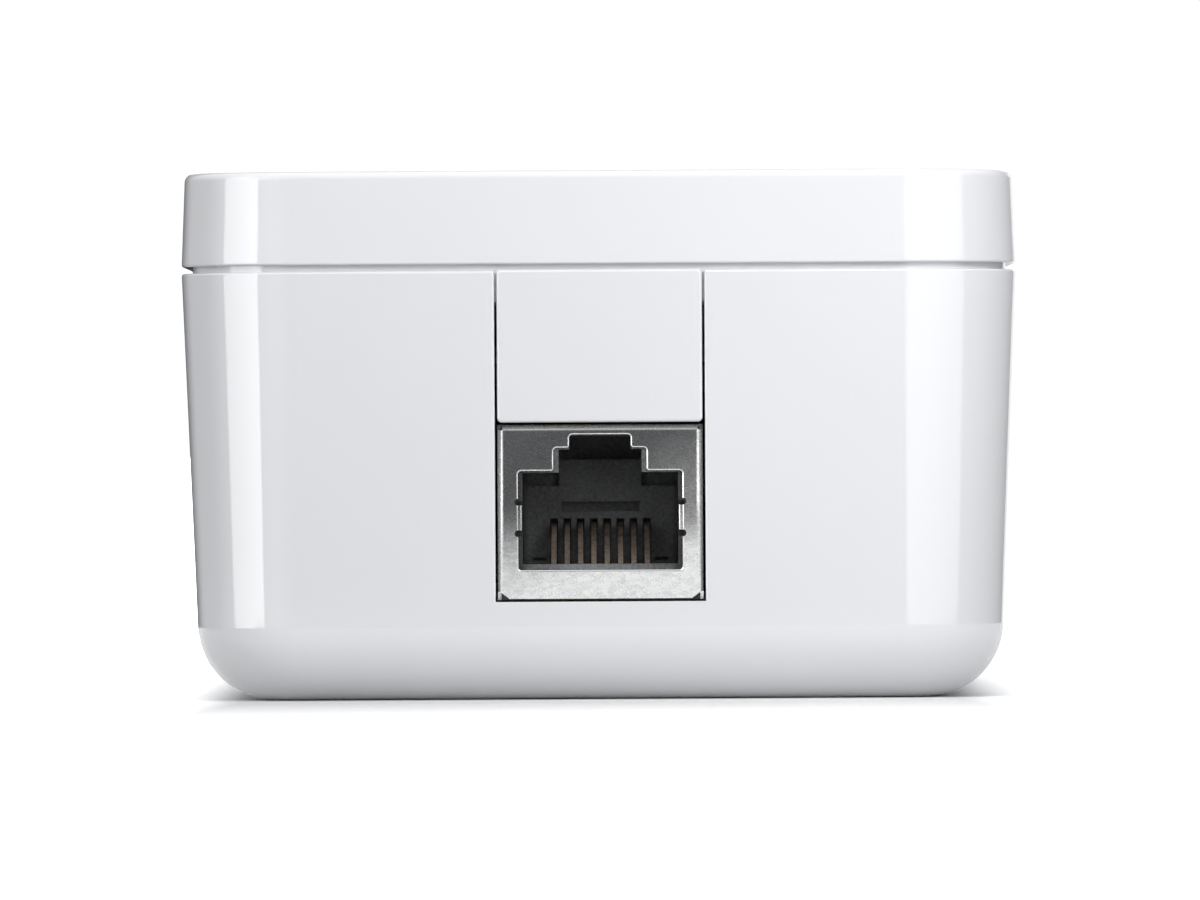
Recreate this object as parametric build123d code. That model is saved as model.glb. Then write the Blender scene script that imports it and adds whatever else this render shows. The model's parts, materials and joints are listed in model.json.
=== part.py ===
from build123d import *
import math
import os

os.makedirs("parts", exist_ok=True)

# ---------------------------------------------------------------------------
# Powerline adapter with an RJ45 jack and a folding two-blade mains plug.
# Millimetres. The adapter lies on its front (user side) face:
#   +X  to the right when looking at the jack end
#   +Y  from the jack end to the far end (the upper end on a wall)
#   +Z  from the front face to the back (wall side) face
# Origin: on the front face's plane, under the middle of the body.
# ---------------------------------------------------------------------------

# housing
W = 63.8            # width at the seam
D = 95.0            # length at the seam
SEAM_Z = 32.55      # top rim of the front shell
COVER_Z = 33.06     # lower rim of the back cover
H = 40.15           # overall height, front face to back face
DRAFT = 2.33        # draft of the side walls, degrees
PLAN_R = 9.0        # plan corner radius at the seam
EDGE_R = 5.8        # radius round the front face
COVER_EDGE_R = 0.6  # radius round the back face
WALL = 2.0
LIP_IN = 0.85       # depth of the shadow gap
RIM_IN = 0.80       # thickness of the shell's rim beside the lip

# jack slot, tongue and jack
SLOT_HW = 7.97      # half width of the slot in the lower end wall
SLOT_Z = 7.45       # bottom of the slot
TONGUE_HW = 7.78
TONGUE_Z0, TONGUE_Z1 = 21.05, 32.62
JACK_Y0, JACK_Y1 = -46.45, -28.15
JACK_Z0, JACK_Z1 = 7.6, 20.88
JACK_HW = 7.8
SHEET = 0.25        # shield sheet
PITCH = 1.016       # contact pitch

# boards
LOGIC_Z0, LOGIC_Z1 = 6.0, 7.6
POWER_Z0, POWER_Z1 = 24.0, 25.6

# case screw columns
COL_X, COL_Y = 24.4, 40.0

# folding plug
PLUG_Y, PLUG_Z = 24.0, 35.7     # pivot axis, along X
BLADE_X = 6.35                  # half the blade spacing
BLADE_T, BLADE_W = 1.52, 6.35
BLADE_L = 21.0                  # pivot to tip
BARREL_R = 4.1
JOURNAL_R = 2.0
SEAT_R = 2.08

# pair button, on the left flank
BTN_Y, BTN_Z = -12.0, 10.3

parts = {}


def box(x0, x1, y0, y1, z0, z1):
    return Pos((x0 + x1) / 2, (y0 + y1) / 2, (z0 + z1) / 2) * Box(
        abs(x1 - x0), abs(y1 - y0), abs(z1 - z0)
    )


def cyl(x, y, z0, z1, r):
    return Pos(x, y, (z0 + z1) / 2) * Cylinder(r, abs(z1 - z0))


def cyl_x(x0, x1, y, z, r):
    return Pos((x0 + x1) / 2, y, z) * Rot(0, 90, 0) * Cylinder(r, abs(x1 - x0))


def cyl_y(x, y0, y1, z, r):
    return Pos(x, (y0 + y1) / 2, z) * Rot(90, 0, 0) * Cylinder(r, abs(y1 - y0))


def poly_x(points, x0, x1):
    """A prism along X from (y, z) points."""
    sk = Plane.YZ * make_face(Polyline(*[(p[0], p[1]) for p in points], close=True))
    return Pos(x0, 0, 0) * extrude(sk, amount=x1 - x0, dir=(1, 0, 0))


def poly_y(points, y0, y1):
    """A prism along Y from (x, z) points."""
    sk = Plane.XZ * make_face(Polyline(*[(p[0], p[1]) for p in points], close=True))
    return Pos(0, y0, 0) * extrude(sk, amount=y1 - y0, dir=(0, 1, 0))


def strip_x(points, t, x0, x1):
    """A bent strip of thickness t, its centre line given by (y, z) points."""
    n = len(points)
    left, right = [], []
    for i in range(n):
        ax, ay = points[max(i - 1, 0)]
        bx, by = points[i]
        cx, cy = points[min(i + 1, n - 1)]
        d1 = (bx - ax, by - ay) if i > 0 else (cx - bx, cy - by)
        d2 = (cx - bx, cy - by) if i < n - 1 else d1
        l1, l2 = math.hypot(*d1), math.hypot(*d2)
        n1 = (-d1[1] / l1, d1[0] / l1)
        n2 = (-d2[1] / l2, d2[0] / l2)
        m = (n1[0] + n2[0], n1[1] + n2[1])
        k = m[0] * n1[0] + m[1] * n1[1]
        m = (m[0] / k, m[1] / k)
        left.append((bx + m[0] * t / 2, by + m[1] * t / 2))
        right.append((bx - m[0] * t / 2, by - m[1] * t / 2))
    return poly_x(left + right[::-1], x0, x1)


def frustum_up(z, w, d, r, h):
    """Rounded block that narrows upwards by the draft."""
    return Pos(0, 0, z) * extrude(RectangleRounded(w, d, r), amount=h, taper=DRAFT)


def frustum_down(z, w, d, r, h):
    """Rounded block that narrows downwards by the draft."""
    return Pos(0, 0, z) * Rot(180, 0, 0) * extrude(
        RectangleRounded(w, d, r), amount=h, taper=DRAFT
    )


def ring(inset0, inset1, z0, z1):
    """Upright rounded ring between two insets from the seam outline."""
    a = extrude(
        RectangleRounded(W - 2 * inset0, D - 2 * inset0, PLAN_R - inset0), amount=z1 - z0
    )
    b = extrude(
        RectangleRounded(W - 2 * inset1, D - 2 * inset1, PLAN_R - inset1), amount=z1 - z0
    )
    return Pos(0, 0, z0) * (a - b)


def one(shape):
    """The single solid of a shape."""
    s = shape.solids()
    if len(s) != 1:
        raise ValueError("expected one solid, got %d" % len(s))
    return s[0]


def add(name, *shapes):
    solids = []
    for s in shapes:
        solids += list(s.solids())
    parts[name] = solids[0] if len(solids) == 1 else Compound(children=solids)


def lowest_edges(s, z):
    return [e for e in s.edges() if abs(e.center().Z - z) < 1e-3 and e.bounding_box().size.Z < 1e-3]


# ---------------------------------------------------------------------------
# Front shell: deep tub, drafted walls, wide radius round the front face
# ---------------------------------------------------------------------------
outer = frustum_down(SEAM_Z, W, D, PLAN_R, SEAM_Z)
outer = fillet(lowest_edges(outer, 0.0), EDGE_R)
outer_body = outer

inner = frustum_down(SEAM_Z, W - 2 * WALL, D - 2 * WALL, PLAN_R - WALL, SEAM_Z - WALL)
inner = fillet(lowest_edges(inner, WALL), EDGE_R - WALL)

shell = outer - inner
shell = fillet(
    [e for e in shell.edges() if abs(e.center().Z - SEAM_Z) < 1e-3 and e.bounding_box().size.Z < 1e-3
     and (abs(e.center().X) > W / 2 - 1.9 or abs(e.center().Y) > D / 2 - 1.9
          or math.hypot(e.center().X, e.center().Y) > math.hypot(W / 2 - 2.7, D / 2 - 2.7))],
    0.18,
)
# rebate for the cover's lip
shell -= extrude(
    Pos(0, 0, SEAM_Z - 2.45) * RectangleRounded(W - 2 * RIM_IN, D - 2 * RIM_IN, PLAN_R - RIM_IN),
    amount=4,
)
# slot for the jack
shell -= box(-SLOT_HW, SLOT_HW, -D / 2 - 1, -D / 2 + 3.6, SLOT_Z, SEAM_Z + 1)
slot_edges = [
    e for e in shell.edges()
    if abs(abs(e.center().X) - SLOT_HW) < 1e-3 and e.bounding_box().size.Z > 20
    and abs(e.center().Y + D / 2 - (SEAM_Z - e.center().Z) * math.tan(math.radians(DRAFT))) < 0.02
]
shell = fillet(slot_edges, 0.15)

for sx in (-1, 1):
    for sy in (-1, 1):
        # case screw boss with a shoulder that carries the power board
        boss = cyl(sx * COL_X, sy * COL_Y, WALL - 0.4, POWER_Z0, 3.2)
        boss += cyl(sx * COL_X, sy * COL_Y, POWER_Z0, 31.0, 2.5)
        shell += boss & frustum_down(SEAM_Z, W - WALL, D - WALL, PLAN_R - WALL / 2, SEAM_Z - 1.0)
        shell -= cyl(sx * COL_X, sy * COL_Y, 18.0, 32.0, 1.05)
POSTS = [(-23.5, -25.0), (23.5, -25.0), (-23.5, 31.0), (23.5, 31.0)]
for px, py in POSTS:
    shell += cyl(px, py, WALL - 0.4, LOGIC_Z0, 2.3)
    shell -= cyl(px, py, 2.6, LOGIC_Z0 + 1, 0.8)

# light guide holes in the front face
LENS_X = (-7.0, 0.0, 7.0)
LENS_Y = 30.0
for lx in LENS_X:
    shell -= cyl(lx, LENS_Y, -1, 3, 1.45)

# pair button hole in the left flank
btn_plane = Plane(origin=(-40, BTN_Y, BTN_Z), x_dir=(0, 1, 0), z_dir=(1, 0, 0))
shell -= extrude(btn_plane * SlotOverall(9.3, 4.3), amount=14)

# vent slots in the far end wall
for i in range(15):
    vx = (i - 7) * 2.7
    vp = Plane(origin=(vx, D / 2 + 2, 17.5), x_dir=(0, 0, 1), z_dir=(0, -1, 0))
    shell -= extrude(vp * SlotOverall(13.0, 1.2), amount=6)
add("front_shell", one(shell))

# ---------------------------------------------------------------------------
# Back cover: shallow lid with a lip, a tongue above the jack, screw columns
# and the well of the folding plug
# ---------------------------------------------------------------------------
cov = frustum_up(COVER_Z, W, D, PLAN_R, H - COVER_Z)
cov = fillet(lowest_edges(cov, H), COVER_EDGE_R)
cov = fillet(lowest_edges(cov, COVER_Z), 0.18)
cov -= frustum_up(COVER_Z - 1, W - 2 * WALL, D - 2 * WALL, PLAN_R - WALL, H - COVER_Z + 1 - WALL)
cov += ring(LIP_IN, WALL, SEAM_Z - 2.35, COVER_Z + 0.6)

# tongue, flush with the drafted end wall
tongue_profile = Plane.XZ * (
    Pos(0, (TONGUE_Z0 + TONGUE_Z1) / 2)
    * RectangleRounded(2 * TONGUE_HW, TONGUE_Z1 - TONGUE_Z0, 0.35)
)
tongue = Pos(0, -D / 2 - 1, 0) * extrude(tongue_profile, amount=3.2, dir=(0, 1, 0))
grow = 0.5 * math.tan(math.radians(DRAFT))
tongue = tongue & frustum_down(SEAM_Z + 0.5, W + 2 * grow, D + 2 * grow, PLAN_R + grow, SEAM_Z)
tongue_front = tongue.faces().sort_by(Axis.Y)[0]
tongue = fillet(tongue_front.edges(), 0.2)
cov += tongue
# stiffening ribs behind the tongue
for rx in (-5.0, 5.0):
    cov += box(rx - 0.6, rx + 0.6, -D / 2 + 1.6, -D / 2 + 3.4, 26.4, H - 1.9)

# well of the folding plug: tub wall first, then the hollow
POCKET_HX, POCKET_DY, POCKET_Z = 9.85, 5.1, 30.5
RECESS_HX, RECESS_Z = 8.1, 31.9
RECESS_Y0 = PLUG_Y - BLADE_L - 0.7
cov += box(-11.4, 11.4, PLUG_Y - POCKET_DY - 1.5, PLUG_Y + POCKET_DY + 1.5, 29.0, H - 1.9)
cov += box(-9.6, 9.6, RECESS_Y0 - 1.5, PLUG_Y - POCKET_DY, RECESS_Z - 1.5, H - 1.9)
cov += poly_x([(RECESS_Y0 - 1.4, 31.6), (RECESS_Y0, 31.6), (RECESS_Y0, H - 1.9), (RECESS_Y0 - 9.3, H - 1.9)], -9.6, 9.6)
cov -= box(-POCKET_HX, POCKET_HX, PLUG_Y - POCKET_DY, PLUG_Y + POCKET_DY, POCKET_Z, H + 1)
cov -= box(-RECESS_HX, RECESS_HX, RECESS_Y0, PLUG_Y, RECESS_Z, H + 1)
cov -= poly_x(
    [(RECESS_Y0 + 0.2, 33.4), (RECESS_Y0 + 0.2, H + 1), (RECESS_Y0 - 8.53, H + 1)],
    -RECESS_HX, RECESS_HX,
)
rim = [
    e for e in cov.edges()
    if abs(e.center().Z - H) < 1e-3 and e.bounding_box().size.Z < 1e-3
    and abs(e.center().X) < 10.5 and RECESS_Y0 - 9.5 < e.center().Y < PLUG_Y + 6
]
cov = fillet(rim, 0.35)
# windows for the spring contacts and the detent leaf
for cx in (-BLADE_X, 0.0, BLADE_X):
    hw = 1.9 if cx else 2.4
    cov -= box(cx - hw, cx + hw, PLUG_Y - 4.6, PLUG_Y + 4.6, 28.5, POCKET_Z + 0.2)
# pivot seats, open towards the inside
for sx in (-1, 1):
    xa, xb = sorted((sx * 9.6, sx * 12.0))
    cov += box(*sorted((sx * 9.85, sx * 11.9)), PLUG_Y - 4.0, PLUG_Y + 4.0, 29.0, H - 1.9)
    cov -= box(xa, xb, PLUG_Y - SEAT_R, PLUG_Y + SEAT_R, 28.5, PLUG_Z)
    cov -= cyl_x(xa, xb, PLUG_Y, PLUG_Z, SEAT_R)
    cov += cyl(sx * 14.6, PLUG_Y, 29.0, H - 1.9, 2.4)
    cov -= cyl(sx * 14.6, PLUG_Y, 28.0, 36.5, 0.8)
# posts that hold the power board down
for px, py in ((-22.0, -18.0), (22.0, -18.0), (-22.0, 6.0), (22.0, 6.0)):
    cov += cyl(px, py, 26.0, H - 1.9, 1.6)
# case screw columns
for sx in (-1, 1):
    for sy in (-1, 1):
        cov += cyl(sx * COL_X, sy * COL_Y, 31.15, H - 1.9, 3.7)
        cov -= cyl(sx * COL_X, sy * COL_Y, 30.0, H + 1, 1.5)
        cov -= cyl(sx * COL_X, sy * COL_Y, 34.2, H + 1, 2.9)
cov = fillet(
    [e for e in cov.edges() if e.geom_type == GeomType.CIRCLE and abs(e.center().Z - H) < 1e-3
     and abs(e.radius - 2.9) < 1e-3],
    0.3,
)
# label recess
LABEL_Y = -22.0
cov -= extrude(Pos(0, LABEL_Y, H - 0.25) * RectangleRounded(36.4, 22.4, 2.0), amount=2)
cov = one(cov)
add("back_cover", cov)

# blank label
add("rating_label", extrude(Pos(0, LABEL_Y, H - 0.25) * RectangleRounded(36.0, 22.0, 1.8), amount=0.15))

# case screws: pan head with a cross recess, down through the columns
def screw(x, y, z_seat, head_r, head_h, shank_r, length, up=True, cross=True):
    s = 1 if up else -1
    head = cyl(x, y, z_seat, z_seat + s * head_h, head_r)
    head = fillet([e for e in head.edges() if abs(e.center().Z - (z_seat + s * head_h)) < 1e-3], head_h * 0.45)
    body = head + cyl(x, y, z_seat - s * length, z_seat, shank_r)
    if cross:
        k = head_r * 0.62
        za, zb = sorted((z_seat + s * head_h * 0.35, z_seat + s * (head_h + 1)))
        body -= box(x - k, x + k, y - k * 0.22, y + k * 0.22, za, zb)
        body -= box(x - k * 0.22, x + k * 0.22, y - k, y + k, za, zb)
    tip = [e for e in body.edges() if abs(e.center().Z - (z_seat - s * length)) < 1e-3]
    body = chamfer(tip, shank_r * 0.45)
    return one(body)


add("case_screws", *[screw(sx * COL_X, sy * COL_Y, 34.2, 2.6, 1.7, 1.02, 14.5) for sx in (-1, 1) for sy in (-1, 1)])

# ---------------------------------------------------------------------------
# Folding plug
# ---------------------------------------------------------------------------
def blade(cx):
    root_y = PLUG_Y + 2.6
    tip_y = PLUG_Y - BLADE_L
    hw = BLADE_W / 2
    pts = [
        (tip_y, PLUG_Z - hw + 1.1), (tip_y + 1.6, PLUG_Z - hw), (root_y, PLUG_Z - hw),
        (root_y, PLUG_Z - 1.5), (PLUG_Y + 4.6, PLUG_Z - 1.5), (PLUG_Y + 4.6, PLUG_Z + 1.5),
        (root_y, PLUG_Z + 1.5), (root_y, PLUG_Z + hw), (tip_y + 1.6, PLUG_Z + hw), (tip_y, PLUG_Z + hw - 1.1),
    ]
    b = poly_x(pts, cx - BLADE_T / 2, cx + BLADE_T / 2)
    b -= cyl_x(cx - 2, cx + 2, PLUG_Y - 16.2, PLUG_Z, 1.6)
    # bevelled tip
    tip = [e for e in b.edges() if abs(e.center().Y - tip_y) < 1e-3 and e.bounding_box().size.X < 1e-3]
    b = chamfer(tip, 0.45)
    return one(b)


blade_l, blade_r = blade(-BLADE_X), blade(BLADE_X)
barrel = cyl_x(-9.6, 9.6, PLUG_Y, PLUG_Z, BARREL_R)
barrel = chamfer([e for e in barrel.edges() if abs(abs(e.center().X) - 9.6) < 1e-3], 0.3)
barrel += box(-7.9, 7.9, PLUG_Y - 4.3, PLUG_Y, PLUG_Z - 3.4, PLUG_Z + 3.4)
# finger web between the blades' roots
barrel += box(-7.9, 7.9, PLUG_Y - 4.0, PLUG_Y, PLUG_Z - 3.6, PLUG_Z + 3.6)
for sx in (-1, 1):
    xa, xb = sorted((sx * 9.5, sx * 11.8))
    barrel += cyl_x(xa, xb, PLUG_Y, PLUG_Z, JOURNAL_R)
# detent flats, one for each stop
barrel -= box(-3.0, 3.0, PLUG_Y - 3.0, PLUG_Y + 5, PLUG_Z - 6, PLUG_Z - 3.75)
barrel -= box(-3.0, 3.0, PLUG_Y + 3.75, PLUG_Y + 6, PLUG_Z - 5, PLUG_Z + 5)
for cx in (-BLADE_X, BLADE_X):
    barrel -= box(cx - BLADE_T / 2, cx + BLADE_T / 2, PLUG_Y - 6, PLUG_Y + 2.6, PLUG_Z - BLADE_W / 2, PLUG_Z + BLADE_W / 2)
    barrel -= box(cx - BLADE_T / 2, cx + BLADE_T / 2, PLUG_Y + 2, PLUG_Y + 6, PLUG_Z - 1.5, PLUG_Z + 1.5)
add("plug_barrel", one(barrel))
add("plug_blade_left", blade_l)
add("plug_blade_right", blade_r)

# retainer: ladder plate with two half-round cradles
ret = box(-17.0, 17.0, PLUG_Y - 4.2, PLUG_Y + 4.2, 27.5, 28.85)
for sx in (-1, 1):
    cx = sx * BLADE_X
    ret -= box(cx - 2.0, cx + 2.0, PLUG_Y - 5, PLUG_Y + 2.9, 27, 29.2)
    xa, xb = sorted((sx * 10.1, sx * 11.7))
    ret += box(xa, xb, PLUG_Y - SEAT_R + 0.06, PLUG_Y + SEAT_R - 0.06, 28.5, PLUG_Z - 0.1)
    ret -= cyl(sx * 14.6, PLUG_Y, 27, 30, 1.1)
ret -= cyl_x(-12.5, 12.5, PLUG_Y, PLUG_Z, SEAT_R)
add("plug_retainer", one(ret))
add("retainer_screws", *[screw(sx * 14.6, PLUG_Y, 27.5, 1.9, 1.1, 0.78, 8.0, up=False) for sx in (-1, 1)])

# detent leaf on the retainer, 0.3 mm under the barrel's flat
add("detent_spring", strip_x(
    [(PLUG_Y - 3.9, 29.02), (PLUG_Y - 2.4, 29.02), (PLUG_Y - 1.2, 30.6), (PLUG_Y - 0.5, 31.1),
     (PLUG_Y + 0.5, 31.1), (PLUG_Y + 1.2, 30.6), (PLUG_Y + 2.6, 29.02), (PLUG_Y + 3.9, 29.02)],
    0.3, -2.0, 2.0))

# line and neutral leaf contacts, from the power board up through the windows
def leaf(cx):
    return strip_x(
        [(PLUG_Y - 11.5, POWER_Z1 + 0.2), (PLUG_Y - 5.6, POWER_Z1 + 0.2), (PLUG_Y - 4.2, 26.4),
         (PLUG_Y - 2.6, 29.6), (PLUG_Y - 1.0, 30.45), (PLUG_Y + 1.0, 30.55), (PLUG_Y + 2.4, 29.9)],
        0.4, cx - 1.4, cx + 1.4)


add("line_contact", leaf(BLADE_X))
add("neutral_contact", leaf(-BLADE_X))

# ---------------------------------------------------------------------------
# RJ45 jack
# ---------------------------------------------------------------------------
OPEN_PTS = [
    (-6.2, 9.87), (6.2, 9.87), (6.2, 17.35), (3.5, 17.35), (3.5, 19.1), (2.3, 19.1), (2.3, 20.1),
    (-2.3, 20.1), (-2.3, 19.1), (-3.5, 19.1), (-3.5, 17.35), (-6.2, 17.35),
]


def opening_prism(y0, y1):
    face = make_face(Polyline(*OPEN_PTS, close=True))
    face = fillet(face.vertices(), 0.22)
    sk = Plane.XZ * face
    return Pos(0, y0, 0) * extrude(sk, amount=y1 - y0, dir=(0, 1, 0))


sh = box(-JACK_HW, JACK_HW, JACK_Y0, JACK_Y1, JACK_Z0, JACK_Z1)
front_bends = [
    e for e in sh.edges()
    if abs(e.center().Y - JACK_Y0) < 1e-3 and e.center().Z > JACK_Z0 + 0.5
]
sh = fillet(front_bends, 0.52)
sh -= box(-JACK_HW + SHEET, JACK_HW - SHEET, JACK_Y0 + SHEET, JACK_Y1 - SHEET, JACK_Z0 - 1, JACK_Z1 - SHEET)
sh -= opening_prism(JACK_Y0 - 1, JACK_Y0 + 1)
punched = [
    e for e in sh.edges()
    if abs(e.center().Y - JACK_Y0) < 1e-3 and e.bounding_box().size.Y < 1e-3
    and abs(e.center().X) < 6.3 and 9.8 < e.center().Z < 20.2
]
sh = fillet(punched, 0.16)
sh -= box(-9, 9, JACK_Y0 - 1, JACK_Y0 + SHEET + 0.01, JACK_Z0 - 1, JACK_Z0 + 0.08)
# corner reliefs of the folds, and the plate's cut lower corners
for sx in (-1, 1):
    sh -= box(*sorted((sx * (JACK_HW - 0.40), sx * (JACK_HW + 1))), JACK_Y0 - 1, JACK_Y0 + 0.6, JACK_Z1 - 0.40, JACK_Z1 + 1)
    sh -= poly_y([(sx * (JACK_HW - 0.85), JACK_Z0 - 0.5), (sx * (JACK_HW + 1), JACK_Z0 - 0.5), (sx * (JACK_HW + 1), JACK_Z0 + 0.6),
                  (sx * (JACK_HW - 0.16), JACK_Z0 + 0.6), (sx * (JACK_HW - 0.85), JACK_Z0 + 0.12)], JACK_Y0 - 1, JACK_Y0 + 0.6)
    # small notches that free the side grounding tabs
    for nz in (12.62, 15.02):
        sh -= cyl_y(sx * 6.26, JACK_Y0 - 1, JACK_Y0 + 1, nz, 0.26)
    # grounding tab folded back into the mouth
    tab = box(*sorted((sx * 5.93, sx * 6.3)), JACK_Y0 + 0.03, JACK_Y0 + 2.2, 12.88, 14.76)
    tab = fillet([e for e in tab.edges() if abs(e.center().X - sx * 5.93) < 1e-3 and abs(e.center().Y - JACK_Y0 - 0.03) < 1e-3], 0.15)
    sh += tab
    # board lock legs
    sh += box(*sorted((sx * (JACK_HW - SHEET), sx * JACK_HW)), -38.4, -36.8, 4.6, JACK_Z0 + 0.3)
add("jack_shield", one(sh))

INS_Y0, INS_Y1 = JACK_Y0 + SHEET + 0.02, -31.2
ins = box(-JACK_HW + SHEET + 0.03, JACK_HW - SHEET - 0.03, INS_Y0, INS_Y1, JACK_Z0 + 0.02, JACK_Z1 - SHEET - 0.03)
BACK_Y = -34.2      # plug stop
# plug cavity and the latch channel above it
ins -= box(-5.9, 5.9, INS_Y0 - 1, BACK_Y, 10.3, 17.25)
ins -= box(-6.4, 6.4, INS_Y0 - 1, INS_Y0 + 2.3, 12.4, 15.1)
ins -= box(-3.15, 3.15, INS_Y0 - 1, BACK_Y, 17.0, 19.0)
ins -= box(-2.35, 2.35, INS_Y0 - 1, BACK_Y, 18.9, 20.05)
ins -= box(-3.1, 3.1, BACK_Y - 1, BACK_Y + 2.2, 18.2, 19.9)
# dark hollows above the stop and the slot across it
for sx in (-1, 1):
    ins -= box(*sorted((sx * 3.15, sx * 5.9)), BACK_Y - 1, BACK_Y + 1.2, 16.2, 17.25)
ins -= box(-3.0, 3.0, BACK_Y - 1, BACK_Y + 1.8, 14.25, 15.0)
# contact channels in the floor and comb slots in the stop
for i in range(8):
    cx = (i - 3.5) * PITCH
    ins -= box(cx - 0.3, cx + 0.3, -44.6, INS_Y1 + 1, 8.8, 10.6)
    ins -= box(cx - 0.3, cx + 0.3, BACK_Y - 0.5, BACK_Y + 2.0, 10.3, 13.7)
# slits beside the contact row
for sx in (-1, 1):
    ins -= box(*sorted((sx * 4.15, sx * 5.2)), BACK_Y - 0.6, BACK_Y + 1.2, 10.48, 10.72)
add("jack_insulator", one(ins))

wires = []
for i in range(8):
    cx = (i - 3.5) * PITCH
    back = -30.0 if i % 2 else -29.3
    w = strip_x(
        [(-33.2, 13.25), (-35.6, 12.95), (-43.2, 10.05), (-43.9, 9.55), (-43.3, 9.1), (-41.8, 9.05),
         (back, 9.05), (back, 5.2)], 0.34, cx - 0.2, cx + 0.2)
    wires.append(w)
add("jack_contacts", *wires)

car = box(-6.6, 6.6, -31.1, JACK_Y1 - SHEET - 0.05, JACK_Z0 + 0.02, 16.2)
car -= box(-4.4, 4.4, -32, -28.9, 7.0, 9.5)
for i in range(8):
    cx = (i - 3.5) * PITCH
    car -= box(cx - 0.28, cx + 0.28, -32, -28.85, 7.0, 9.6)
add("jack_contact_carrier", one(car))

# foam gasket between the shield and the power board
add("shield_gasket", box(-7.2, 7.2, -41.8, -39.4, JACK_Z1 + 0.04, POWER_Z0 - 0.04))

# ---------------------------------------------------------------------------
# Logic board and what is on it
# ---------------------------------------------------------------------------
lb = extrude(Pos(0, -0.5, LOGIC_Z0) * RectangleRounded(55.0, 87.0, 1.5), amount=LOGIC_Z1 - LOGIC_Z0)
for sx in (-1, 1):
    for sy in (-1, 1):
        lb -= box(*sorted((sx * 20.8, sx * 30)), *sorted((sy * 36.4, sy * 50)), 5, 9)
for px, py in POSTS:
    lb -= cyl(px, py, 5, 9, 1.1)
for i in range(8):
    cx = (i - 3.5) * PITCH
    lb -= cyl(cx, -30.0 if i % 2 else -29.3, 5, 9, 0.45)
for sx in (-1, 1):
    lb -= cyl(sx * (JACK_HW - SHEET / 2), -37.6, 5, 9, 1.05)
HEAD_X, HEAD_Y = 20.5, -34.0
PINS = [(HEAD_X + (i - 1) * 2.0, HEAD_Y + j * 2.0) for i in range(3) for j in (0, 1)]
for px, py in PINS:
    lb -= cyl(px, py, 5, 9, 0.42)
add("logic_board", one(lb))
add("board_screws", *[screw(px, py, LOGIC_Z1, 1.9, 1.2, 0.78, 4.6) for px, py in POSTS])

SOC_X, SOC_Y = 5.0, 8.0


def chip(x, y, w, d, h, z=LOGIC_Z1, pins=0, side="y", dot=True):
    """A moulded package, with optional gull-wing legs on two sides."""
    body_z = z + (0.1 if pins else 0.0)
    b = box(x - w / 2, x + w / 2, y - d / 2, y + d / 2, body_z, body_z + h)
    b = chamfer([e for e in b.edges() if abs(e.center().Z - (body_z + h)) < 1e-3], min(0.15, h * 0.2))
    if dot:
        b -= cyl(x - w / 2 + 0.9, y + d / 2 - 0.9, body_z + h - 0.08, body_z + h + 1, 0.35)
    if pins:
        span = (w if side == "y" else d) - 1.0
        step = span / (pins - 1)
        for i in range(pins):
            t = -span / 2 + i * step
            for s in (-1, 1):
                if side == "y":
                    b += box(x + t - 0.2, x + t + 0.2, *sorted((y + s * (d / 2 - 0.2), y + s * (d / 2 + 0.5))), body_z + h * 0.4, body_z + h * 0.4 + 0.2)
                    b += box(x + t - 0.2, x + t + 0.2, *sorted((y + s * (d / 2 + 0.4), y + s * (d / 2 + 0.6))), z, body_z + h * 0.4 + 0.2)
                    b += box(x + t - 0.2, x + t + 0.2, *sorted((y + s * (d / 2 + 0.4), y + s * (d / 2 + 1.0))), z, z + 0.18)
                else:
                    b += box(*sorted((x + s * (w / 2 - 0.2), x + s * (w / 2 + 0.5))), y + t - 0.2, y + t + 0.2, body_z + h * 0.4, body_z + h * 0.4 + 0.2)
                    b += box(*sorted((x + s * (w / 2 + 0.4), x + s * (w / 2 + 0.6))), y + t - 0.2, y + t + 0.2, z, body_z + h * 0.4 + 0.2)
                    b += box(*sorted((x + s * (w / 2 + 0.4), x + s * (w / 2 + 1.0))), y + t - 0.2, y + t + 0.2, z, z + 0.18)
    return one(b)


add("powerline_processor", chip(SOC_X, SOC_Y, 14, 14, 1.2))
add("thermal_pad", box(SOC_X - 6.5, SOC_X + 6.5, SOC_Y - 6.5, SOC_Y + 6.5, LOGIC_Z1 + 1.2, LOGIC_Z1 + 1.7))
hs = box(SOC_X - 9, SOC_X + 9, SOC_Y - 9, SOC_Y + 9, LOGIC_Z1 + 1.7, LOGIC_Z1 + 7.2)
for i in range(6):
    fx = SOC_X - 9 + 1.2 + i * 2.88
    hs -= box(fx, fx + 1.68, SOC_Y - 10, SOC_Y + 10, LOGIC_Z1 + 3.2, LOGIC_Z1 + 8)
add("heat_sink", one(hs))
add("memory_chip", chip(-15.0, 10.0, 8.0, 12.5, 1.0))
add("flash_chip", chip(-19.5, -1.5, 5.0, 4.0, 1.5, pins=4))
add("ethernet_chip", chip(0.0, -10.0, 7.0, 7.0, 0.9))
add("lan_transformer", chip(0.0, -20.5, 12.6, 7.2, 5.6, pins=8, dot=False))
add("line_driver_chip", chip(17.0, -8.0, 6.0, 6.0, 0.9))


def crystal(x, y, w, d, h):
    base = extrude(Pos(x, y, LOGIC_Z1) * SlotOverall(w, d), amount=0.4)
    can = extrude(Pos(x, y, LOGIC_Z1 + 0.4) * SlotOverall(w - 0.7, d - 0.7), amount=h - 0.4)
    can = fillet([e for e in can.edges() if abs(e.center().Z - (LOGIC_Z1 + h)) < 1e-3], 0.4)
    return one(base + can)


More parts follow.
